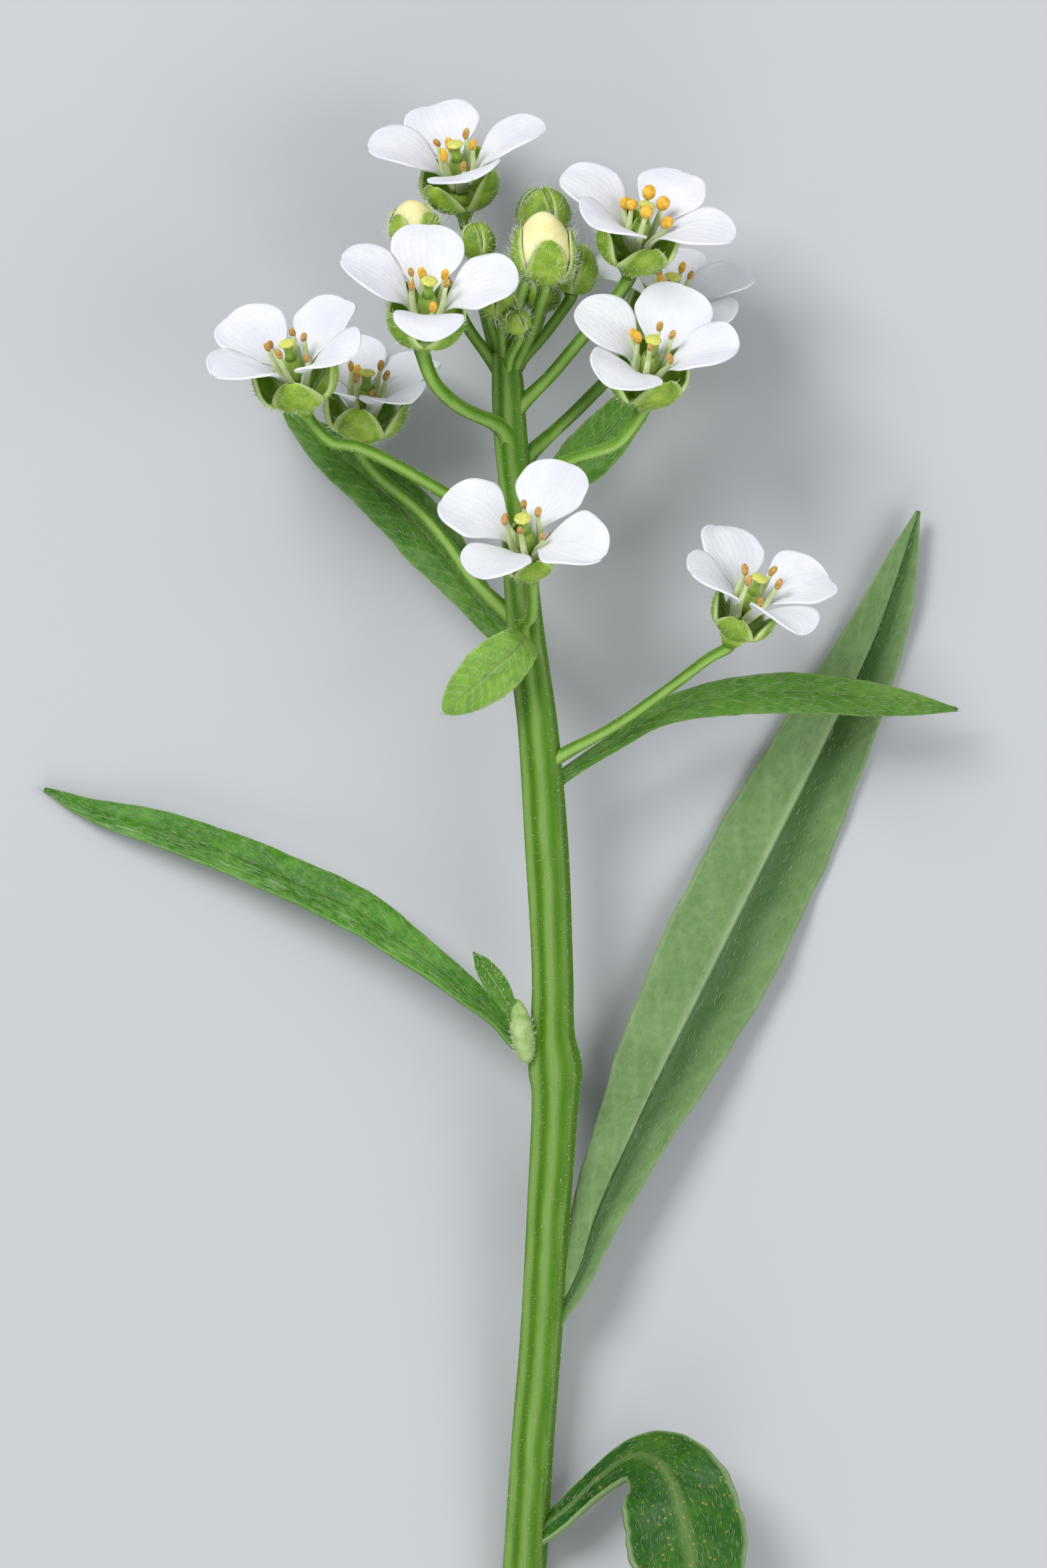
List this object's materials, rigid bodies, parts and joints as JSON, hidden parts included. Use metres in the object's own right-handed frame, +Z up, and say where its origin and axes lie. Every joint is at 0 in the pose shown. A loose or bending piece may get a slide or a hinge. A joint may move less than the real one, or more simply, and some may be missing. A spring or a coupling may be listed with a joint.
{
  "type": "sweet alyssum",
  "caption": "Cut flowering sprig of sweet alyssum lying on its side: ridged green stem with narrow leaves, and a head of small four-petalled white flowers and buds",
  "frame": {"origin": "on the surface that the sprig lies on, under the middle of its bounding box", "axes": "+Y runs from the cut end to the flowers, +X is the sprig's right side seen from above, +Z is up"},
  "size_m": [0.0332, 0.0552, 0.0129],
  "materials": {
    "stem": "satin, ridged, with fine pale hairs",
    "shoot": "satin, hairy",
    "leaf": "satin, with fine pale hairs lying along it",
    "sepals": "satin, hairy",
    "petals": "matt, slightly translucent",
    "flower_centre": "matt, green ovary with orange anthers",
    "buds": "satin, hairy",
    "bud_petals": "matt, folded"
  },
  "bodies": {
    "root": {"stem": "stem", "axil_shoot": "shoot", "leaf_1": "leaf", "leaf_2": "leaf", "leaf_3": "leaf", "leaf_4": "leaf", "leaf_5": "leaf", "leaf_6": "leaf", "leaf_7": "leaf", "flower_1_calyx": "sepals", "flower_1_petals": "petals", "flower_1_centre": "flower_centre", "flower_2_calyx": "sepals", "flower_2_petals": "petals", "flower_2_centre": "flower_centre", "flower_3_calyx": "sepals", "flower_3_petals": "petals", "flower_3_centre": "flower_centre", "flower_4_calyx": "sepals", "flower_4_petals": "petals", "flower_4_centre": "flower_centre", "flower_5_calyx": "sepals", "flower_5_petals": "petals", "flower_5_centre": "flower_centre", "flower_6_calyx": "sepals", "flower_6_petals": "petals", "flower_6_centre": "flower_centre", "flower_7_calyx": "sepals", "flower_7_petals": "petals", "flower_7_centre": "flower_centre", "flower_8_calyx": "sepals", "flower_8_petals": "petals", "flower_8_centre": "flower_centre", "flower_9_calyx": "sepals", "flower_9_petals": "petals", "flower_9_centre": "flower_centre", "bud_1": "buds", "bud_2": "buds", "bud_3": "buds", "bud_4": "buds", "bud_5": "buds", "bud_6": "buds", "bud_7": "buds", "bud_8": "buds", "bud_1_petals": "bud_petals", "bud_2_petals": "bud_petals"}
  },
  "joints": []
}
